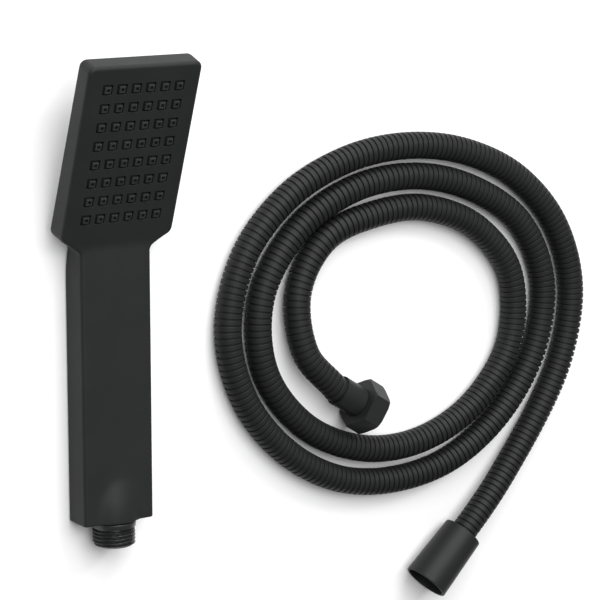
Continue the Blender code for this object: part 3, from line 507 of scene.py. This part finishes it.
def makeConeNut(place, out):
    cone = newRod(coneNut["tail"] * mm, coneNut["length"] * mm, 112, coneNut["mouth"] * mm)
    drill(cone, True, [(coneNut["mouth"] - coneNut["socket"], coneNut["socketDeep"]),
                       (coneNut["socket"] - coneNut["bore"], 0)])
    drill(cone, False, [(coneNut["tail"] - coneNut["bore"], 0)])
    openThrough(cone, coneNut["bore"], coneNut["length"] - coneNut["socketDeep"], 0)
    roundEdges(cone, coneNut["edge"] * mm, 3, sharpRing())
    smooth(cone)
    mouth = coneNut["flangeEnd"] + coneNut["socketDeep"]
    settle(cone, place + out * (mouth - coneNut["length"]) * mm, facing(out))
    finishPiece(cone, "gripCone", "cone_nut", "blackBrass", "cone_nut")


wallNut = {"flats": 24, "length": 10.6, "end": 12.5, "socket": 10.65, "wall": 2.0, "bore": 5.7, "back": 2.3,
           "chamfer": 0.6, "past": 0.05, "edge": 0.22}


def makeWallNut(place, out):
    corner = wallNut["flats"] / 2 / math.cos(math.pi / 6)
    nut = newRod(corner * mm, wallNut["length"] * mm, 6)
    # a barrel with sloping shoulders takes the points off the hexagon's two ends
    widest = corner + wallNut["past"]
    slope = (widest - wallNut["end"]) * wallNut["chamfer"]
    barrel = newRod(wallNut["end"] * mm, slope * mm, 96, widest * mm)
    selectIn(barrel, "faces", lambda face: face.normal.z > 0.9)
    for rise, scale in ((wallNut["length"] - 2 * slope, 1), (slope, wallNut["end"] / widest)):
        bpy.ops.mesh.extrude_region_move(TRANSFORM_OT_translate={"value": (0, 0, rise * mm)})
        bpy.ops.transform.resize(value=(scale, scale, 1), center_override=(0, 0, 0))
    bpy.ops.object.mode_set(mode="OBJECT")
    carve(nut, barrel, "INTERSECT")
    for radius, low, high in ((wallNut["bore"], -1, 2 * wallNut["wall"]),
                              (wallNut["socket"], wallNut["wall"], 12)):
        bit = newRod(radius * mm, (high - low) * mm, 96)
        settle(bit, (0, 0, low * mm))
        carve(nut, bit)
    roundEdges(nut, wallNut["edge"] * mm, 2, sharpRing(25))
    smooth(nut, 40)
    # it lies on one of its flats
    settle(nut, place + out * wallNut["back"] * mm, facing(out) @ Quaternion((0, 0, 1), math.pi / 6))
    finishPiece(nut, "hexNut", "wall_nut", "blackBrass", "wall_nut")


ferrule = {"radius": 8.0, "bore": 7.3, "length": 14, "coneTop": 0.3, "wallTop": 2.0, "edge": 0.25}


def makeFerrule(name, replaced, place, out, top):
    ring = newRod(ferrule["radius"] * mm, ferrule["length"] * mm, 96)
    drill(ring, True, [(ferrule["radius"] - ferrule["bore"], 0)])
    drill(ring, False, [(ferrule["radius"] - ferrule["bore"], 0)])
    openThrough(ring, ferrule["bore"], ferrule["length"], 0)
    roundEdges(ring, ferrule["edge"] * mm, 3, sharpRing())
    smooth(ring)
    settle(ring, place + out * (top - ferrule["length"]) * mm, facing(out))
    finishPiece(ring, name, "hose", "blackBrass", replaced)


body = {
    "handleWidth": 38, "handleDepth": 17, "handleLength": 136, "headWidth": 60, "headLength": 94,
    "headDepthLow": 13.4, "headDepthTop": 11.2, "headTilt": 20, "creaseRadius": 13, "bendRadius": 60,
    "shoulderStart": 4.6, "shoulderSlope": 33, "shoulderRound": 4.0,
    "frontEdge": 1.9, "backEdge": 1.8, "topCorner": 3.6, "inletEdge": 0.7,
    "frontWall": 1.8, "sideWall": 3.4, "coverRim": 2.4, "coverThick": 2.2, "endWall": 3.0, "topWall": 2.6,
    "coverStart": 22, "gap": 0.3,
    "inletHeight": 10.6, "inletBore": 7.3, "bossRadius": 10.8, "bossWidth": 12.4, "bossLength": 23.6,
    "bossBlend": 3.0, "bossEnd": 33, "bossStep": 1.5, "roundStep": 0.9, "closest": 0.12,
    "windowEdge": 0.28, "openingCorner": 2.4, "coverCorner": 2.2, "coverEdge": 0.3,
    "handleLines": (1.2, 3.6, 6.0, 8.5, 11.0, 13.4),  # lengthwise lines of the skin, from the middle out
}
nozzles = {"rows": 8, "columns": 6, "pitchX": 7.6, "pitchY": 9.6, "centre": 48.8, "window": 5.0,
           "nubBase": 3.5, "taper": 0.2, "rise": 0.6, "jet": 1.0, "matFront": 2.1, "matThick": 1.0,
           "border": 0.8}

tilt = math.radians(body["headTilt"])
headNormal = Vector((0, -math.sin(tilt), math.cos(tilt)))
headAlong = Vector((0, math.cos(tilt), math.sin(tilt)))
crease = Vector((0, body["handleLength"], body["handleDepth"]))
backLow = crease - headNormal * body["headDepthLow"]
backTop = crease + headAlong * body["headLength"] - headNormal * body["headDepthTop"]
backAngle = math.atan2(backTop.z - backLow.z, backTop.y - backLow.y)
backCorner = backLow.y - backLow.z / math.tan(backAngle)
bendLow = backCorner - body["bendRadius"] * math.tan(backAngle / 2) - body["handleLength"]
bendHigh = body["shoulderStart"] + body["shoulderRound"]


def bentLine(along, cornerY, cornerZ, angle, radius):
    # a point on a level line that turns up by this angle, with a round bend at the corner
    tangent = radius * math.tan(angle / 2)
    arc = radius * angle
    if along < -arc / 2:
        return Vector((0, cornerY - tangent + along + arc / 2, cornerZ))
    if along > arc / 2:
        rest = tangent + along - arc / 2
        return Vector((0, cornerY + rest * math.cos(angle), cornerZ + rest * math.sin(angle)))
    turn = along / radius + angle / 2
    return Vector((0, cornerY - tangent + radius * math.sin(turn), cornerZ + radius * (1 - math.cos(turn))))


def backAt(along):
    # how far along the bent back line the back of the head lies, under this place on its face
    share = along / body["headLength"]
    depth = body["headDepthLow"] + (body["headDepthTop"] - body["headDepthLow"]) * share
    point = crease + headAlong * along - headNormal * depth
    reach = math.hypot(point.y - backCorner, point.z)
    return reach - body["bendRadius"] * (math.tan(backAngle / 2) - backAngle / 2)


def shoulderPoints(steps=8):
    # half the outline where the handle widens into the head: (along, half width) over two arcs
    slope = math.radians(body["shoulderSlope"])
    drop = (body["headWidth"] - body["handleWidth"]) / 2 * math.tan(slope)
    radius = body["shoulderRound"]
    turn = math.pi / 2 - slope
    off = radius * math.tan(turn / 2)
    low = (body["handleWidth"] / 2 + radius, body["shoulderStart"] - drop - off)
    high = (body["headWidth"] / 2 - radius, body["shoulderStart"] + off)
    points = []
    for step in range(steps + 1):
        swing = turn * step / steps
        points.append((low[1] + radius * math.sin(swing), low[0] - radius * math.cos(swing)))
    for step in range(steps + 1):
        swing = turn * (1 - step / steps)
        points.append((high[1] - radius * math.sin(swing), high[0] + radius * math.cos(swing)))
    return points


shoulder = shoulderPoints()


def halfWidth(along):
    if along <= shoulder[0][0]:
        return body["handleWidth"] / 2
    for (low, narrow), (high, wide) in zip(shoulder, shoulder[1:]):
        if along <= high:
            return narrow + (wide - narrow) * (along - low) / (high - low)
    return body["headWidth"] / 2


def bossHeight(x, y, shrink):
    # the swelling over the inlet, which rises softly out of the handle's front
    radius = body["bossRadius"] - shrink
    inside = 1 - (x / (body["bossWidth"] - shrink)) ** 2 - (y / (body["bossLength"] - shrink)) ** 2
    height = body["inletHeight"] - (body["handleDepth"] - shrink) + radius * math.sqrt(max(inside, 0.0))
    mix = min(max(0.5 + 0.5 * height / body["bossBlend"], 0.0), 1.0)
    return mix * height + body["bossBlend"] * mix * (1 - mix)


def bodyAt(along):
    # front point, back point and the way out of the front, at this distance above the crease
    if along <= bendLow:
        front = Vector((0, body["handleLength"] + along, body["handleDepth"]))
        back = Vector((0, body["handleLength"] + along, 0))
    else:
        front = bentLine(along, body["handleLength"], body["handleDepth"], tilt, body["creaseRadius"])
        if along >= bendHigh:
            backAlong = backAt(along)
        else:
            start = -body["bendRadius"] * backAngle / 2
            share = (along - bendLow) / (bendHigh - bendLow)
            backAlong = start + share * (backAt(bendHigh) - start)
        back = bentLine(backAlong, backCorner, 0, backAngle, body["bendRadius"])
    return front, back, (front - back).normalized()


def windowLines(count, pitch, centre=0.0):
    lines = []
    for index in range(count):
        middle = centre + (index - (count - 1) / 2) * pitch
        lines += [middle - nozzles["window"] / 2, middle + nozzles["window"] / 2]
    return lines


def lengthLines(begin, end, rough):
    # the crosswise lines of the skin: closer at the bend, the shoulders, the swelling and the windows
    lines = {begin, end}
    for along, _ in shoulder[::2 if rough else 1]:
        lines.add(along)
    for step in range(-6, 7, 2 if rough else 1):
        lines.add(body["creaseRadius"] * tilt / 12 * step)
    for step in range(9):
        lines.add(bendLow + (shoulder[0][0] - bendLow) * step / 8)
    for step in range(1, 5 if rough else 7):
        lines.add(shoulder[-1][0] + step * body["roundStep"])
    y = begin + body["handleLength"] + body["bossStep"]
    while y < body["bossEnd"]:
        lines.add(y - body["handleLength"])
        y += body["bossStep"] * (2 if rough else 1)
    if not rough:
        lines.update(windowLines(nozzles["rows"], nozzles["pitchY"], nozzles["centre"]))
    kept = []
    for line in sorted(lines):
        if begin <= line <= end and (not kept or line - kept[-1] > body["closest"]):
            kept.append(line)
    kept[-1] = end
    return kept


top, under, flank, inletFace, headTop = range(5)  # face marks on the skin


def bodySkin(low, high, inset, start, stop, boss=None, rough=True):
    # a grid, thickened and then shaped to the handset's outline; marks tell its sides apart
    alongLines = lengthLines(start - body["handleLength"], body["headLength"] - stop, rough)
    headLines = windowLines(nozzles["columns"], nozzles["pitchX"])
    handleLines = [-x for x in reversed(body["handleLines"])] + list(body["handleLines"])
    columns, rows = len(headLines) + 1, len(alongLines) - 1
    skin = newSlab(columns, rows)
    for mark in (top, under, flank, inletFace, headTop):
        skin.data.materials.append(None)
    for face in skin.data.polygons:
        if abs(face.normal.z) > 0.5:
            face.material_index = top if face.normal.z > 0 else under
        elif abs(face.normal.x) > 0.5:
            face.material_index = flank
        else:
            face.material_index = headTop if face.normal.y > 0 else inletFace
    widths = (body["handleWidth"] / 2, body["headWidth"] / 2)
    for corner in skin.data.vertices:
        column = round((corner.co.x + 1) / 2 * columns)
        row = round((corner.co.y + 1) / 2 * rows)
        along = alongLines[row]
        front, back, out = bodyAt(along)
        wide = halfWidth(along - 0.4 * inset)
        share = (wide - widths[0]) / (widths[1] - widths[0])
        edge = wide - inset
        if column == 0 or column == columns:
            x = -edge if column == 0 else edge
        else:
            x = handleLines[column - 1] * (1 - share) + headLines[column - 1] * share
        if corner.co.z > 0.5:
            spot = back + out * (high if high > 0 else (front - back).length + high)
            if boss is not None:
                spot = spot + out * bossHeight(x, body["handleLength"] + along, boss)
        else:
            spot = back + out * low
        corner.co = Vector((x, spot.y, spot.z)) * mm
    return skin


def marks(first, second):
    return lambda edge: len(edge.link_faces) == 2 and {
        face.material_index for face in edge.link_faces} in [{a, b} for a in first for b in second]


def rimOf(side):
    return lambda edge: len(edge.link_faces) == 2 and sum(
        face.material_index == side for face in edge.link_faces) == 1


def makeShell():
    shell = bodySkin(0, 0, 0, 0, 0, boss=0, rough=False)
    named(shell, "satinBody")
    roundEdges(shell, body["topCorner"] * mm, 6, marks([flank], [headTop]))
    roundEdges(shell, body["frontEdge"] * mm, 6, marks([top], [flank, headTop]))
    roundEdges(shell, body["backEdge"] * mm, 4, marks([under], [flank, headTop]))
    roundEdges(shell, body["inletEdge"] * mm, 3, rimOf(inletFace))
    # nozzle windows: every second cell of the face grid is pressed in
    half = nozzles["window"] / 2
    field = (nozzles["columns"] * nozzles["pitchX"] / 2, nozzles["rows"] * nozzles["pitchY"] / 2)
    toLocal = (Matrix.Translation(crease * mm) @ Matrix.Rotation(tilt, 4, "X")).inverted()

    def inWindow(face):
        if face.normal.dot(headNormal) < 0.99 or len(face.verts) != 4:
            return False
        spot = toLocal @ face.calc_center_median() / mm
        column = spot.x / nozzles["pitchX"] + (nozzles["columns"] - 1) / 2
        row = (spot.y - nozzles["centre"]) / nozzles["pitchY"] + (nozzles["rows"] - 1) / 2
        if not (-0.5 < column < nozzles["columns"] - 0.5 and -0.5 < row < nozzles["rows"] - 0.5):
            return False
        return abs(column - round(column)) * nozzles["pitchX"] < half * 0.5 and abs(
            row - round(row)) * nozzles["pitchY"] < half * 0.5

    count = selectIn(shell, "faces", inWindow)
    print("nozzle windows", count)
    bpy.ops.mesh.extrude_region_move(TRANSFORM_OT_translate={
        "value": headNormal * -(body["frontWall"] + 0.4) * mm})  # just past the wall, into the hollow
    bpy.ops.object.mode_set(mode="OBJECT")

    def windowRim(edge):
        corners = [toLocal @ corner.co / mm for corner in edge.verts]
        return len(edge.link_faces) == 2 and abs(edge.calc_face_angle(0) - math.pi / 2) < 0.05 and all(
            spot.z > -0.1 and abs(spot.x) < field[0] and abs(spot.y - nozzles["centre"]) < field[1]
            for spot in corners)

    roundEdges(shell, body["windowEdge"] * mm, 3, windowRim)
    hollow = bodySkin(body["coverThick"] + body["gap"], -body["frontWall"], body["sideWall"],
                      body["endWall"], body["topWall"], boss=body["frontWall"])
    carve(shell, hollow)
    opening = bodySkin(-2, body["coverThick"] + 2 * body["gap"], body["coverRim"], body["coverStart"],
                       body["topWall"])
    roundEdges(opening, body["openingCorner"] * mm, 5, marks([flank], [headTop]))
    carve(shell, opening)
    bore = newRod(body["inletBore"] * mm, 8 * mm, 64)
    settle(bore, (0, -2 * mm, body["inletHeight"] * mm), Vector((0, 1, 0)).to_track_quat("Z", "Y"))
    carve(shell, bore)
    smooth(shell, 40)
    settle(shell, (0, inletEnd, 0))
    finishPiece(shell, "satinBody", "handset", "satinShell", "front_shell")


def makeCover():
    rim = body["coverRim"] + body["gap"]
    cover = bodySkin(0, body["coverThick"], rim, body["coverStart"] + body["gap"],
                     body["topWall"] + body["gap"])
    roundEdges(cover, body["coverCorner"] * mm, 5, marks([flank], [headTop]))
    roundEdges(cover, body["coverEdge"] * mm, 3, rimOf(under))
    smooth(cover, 40)
    settle(cover, (0, inletEnd, 0))
    finishPiece(cover, "backCover", "handset", "satinCover", "rear_cover")


def makeNozzles():
    # the silicone mat: a slab whose cells rise into 48 square nubs, each with a small jet hole
    columns = 2 * nozzles["columns"] + 1
    rows = 2 * nozzles["rows"] + 1
    mat = newSlab(columns, rows)

    def lines(count, pitch, centre):
        edge = (count - 1) / 2 * pitch + nozzles["window"] / 2 + nozzles["border"]
        found = [centre - edge]
        for index in range(count):
            middle = centre + (index - (count - 1) / 2) * pitch
            found += [middle - nozzles["nubBase"] / 2, middle + nozzles["nubBase"] / 2]
        return found + [centre + edge]

    across = lines(nozzles["columns"], nozzles["pitchX"], 0)
    upward = lines(nozzles["rows"], nozzles["pitchY"], nozzles["centre"])
    cells = set()
    for face in mat.data.polygons:
        column = math.floor((face.center.x + 1) / 2 * columns)
        row = math.floor((face.center.y + 1) / 2 * rows)
        if face.normal.z > 0.5 and column % 2 == 1 and row % 2 == 1:
            cells.add(face.index)
    for corner in mat.data.vertices:
        column = round((corner.co.x + 1) / 2 * columns)
        row = round((corner.co.y + 1) / 2 * rows)
        height = -nozzles["matFront"] - (0 if corner.co.z > 0.5 else nozzles["matThick"])
        corner.co = Vector((across[column], upward[row], height)) * mm
    rise = nozzles["matFront"] + nozzles["rise"]
    flat = nozzles["nubBase"] / 2 - nozzles["taper"] - 0.3 - nozzles["jet"] / 2
    selectIn(mat, "faces", lambda face: face.index in cells)
    for narrower, deeper in ((nozzles["taper"], rise - 0.3), (0.1, 0.2), (0.2, 0.1), (flat, 0),
                             (0.08, -0.08), (0.04, -1.5)):
        bpy.ops.mesh.inset(thickness=narrower * mm, depth=deeper * mm, use_individual=True,
                           use_even_offset=False)
    bpy.ops.object.mode_set(mode="OBJECT")
    smooth(mat, 40)
    place = Vector((0, inletEnd, 0)) + crease * mm
    settle(mat, place, Matrix.Rotation(tilt, 3, "X").to_quaternion())
    finishPiece(mat, "nozzleMat", "handset", "softSilicone", "nozzle_mat")


spigot = {"thread": 10.4775, "pitch": 1.814, "depth": 1.16, "threadLength": 9.4, "collar": 10.85,
          "collarLength": 2.6, "bore": 7.4, "boreDeep": 6.8, "valveBore": 5.2, "valveDeep": 15,
          "stub": 7.0, "tail": 6.0, "step": 7.0, "end": 15, "tubeSocket": 4.1, "socketDeep": 5.2,
          "water": 3.0, "gap": 0.3, "sides": 96, "rows": 96,
          "runIn": 9, "runOut": 6, "crest": 1.35, "groove": 0.18}  # how the thread starts, ends and is cut


def makeSpigot():
    root = spigot["thread"] - spigot["depth"]
    start = -(spigot["collarLength"] + spigot["threadLength"] + spigot["gap"])
    collar = -spigot["gap"] - spigot["collarLength"]
    profile = [(start, root - 0.5, 0), (start + 0.15, root - 0.12, 0)]  # along, radius, thread share
    rows = spigot["rows"]
    for row in range(rows + 1):
        along = start + 0.3 + (spigot["threadLength"] - 0.9) * row / rows
        profile.append((along, root, min(1.0, row / spigot["runIn"], (rows - row) / spigot["runOut"])))
    wide, socketFloor = spigot["collar"], spigot["end"] - spigot["socketDeep"]
    seat = start + spigot["boreDeep"]
    profile += [(collar - 0.02, root, 0), (collar, root + 0.1, 0),  # the collar with rounded rims
                (collar, wide - 0.5, 0), (collar + 0.12, wide - 0.15, 0), (collar + 0.4, wide, 0),
                (-0.5, wide, 0), (-0.32, wide - 0.15, 0), (-0.3, wide - 0.4, 0),
                (-0.3, spigot["stub"], 0), (spigot["step"], spigot["stub"], 0),  # the stub in the handle
                (spigot["step"] + 0.8, spigot["tail"], 0), (spigot["end"], spigot["tail"], 0),
                (spigot["end"], spigot["tubeSocket"], 0), (socketFloor, spigot["tubeSocket"], 0),
                (socketFloor, spigot["water"], 0), (seat + spigot["valveDeep"], spigot["water"], 0),
                (seat + spigot["valveDeep"], spigot["valveBore"], 0), (seat, spigot["valveBore"], 0),
                (seat, spigot["bore"], 0), (start + 0.4, spigot["bore"], 0),
                (start, spigot["bore"] + 0.4, 0), (start, root - 0.5, 0)]
    sides = spigot["sides"]
    piece = newGrid(sides, len(profile) - 1)
    for corner in piece.data.vertices:
        around = round((corner.co.x + 1) / 2 * sides)
        along, radius, share = profile[round((corner.co.y + 1) / 2 * (len(profile) - 1))]
        if share:
            wave = abs(((along / spigot["pitch"] + around / sides) % 1.0) * 2 - 1)
            cut = min(1.0, max(0.0, spigot["crest"] * wave - spigot["groove"]))
            radius += spigot["depth"] * share * cut
        swing = math.tau * around / sides
        corner.co = Vector((radius * math.cos(swing), along, radius * math.sin(swing))) * mm
    onlyThis(piece)
    bpy.ops.object.mode_set(mode="EDIT")
    bpy.ops.mesh.select_all(action="SELECT")
    bpy.ops.mesh.remove_doubles(threshold=0.000002)
    bpy.ops.mesh.normals_make_consistent(inside=False)
    bpy.ops.object.mode_set(mode="OBJECT")
    smooth(piece, 38, weighted=False)
    settle(piece, (0, inletEnd, body["inletHeight"] * mm))
    finishPiece(piece, "threadedInlet", "handset", "platedThread", "inlet_spigot")


makeLooks()
makeStudio()
makeFloor()
makeCamera()
dressNodes()
tube, line, hoseLength, outCone, outWall = makeHose()
makeConeNut(line[0], outCone)
makeWallNut(line[-1], outWall)
makeFerrule("coneFerrule", "cone_ferrule", line[0], outCone, ferrule["coneTop"])
makeFerrule("wallFerrule", "wall_ferrule", line[-1], outWall, ferrule["wallTop"])
print("hose fittings done")
makeShell()
makeCover()
makeNozzles()
makeSpigot()
print("handset done")

onTheHose = [bpy.data.objects[name] for name in ("gripCone", "hexNut", "coneFerrule", "wallFerrule")]
onTheHose += [frame["nodes"][name] for name in ("cone_stem", "cone_washer", "wall_stem", "wall_washer")]
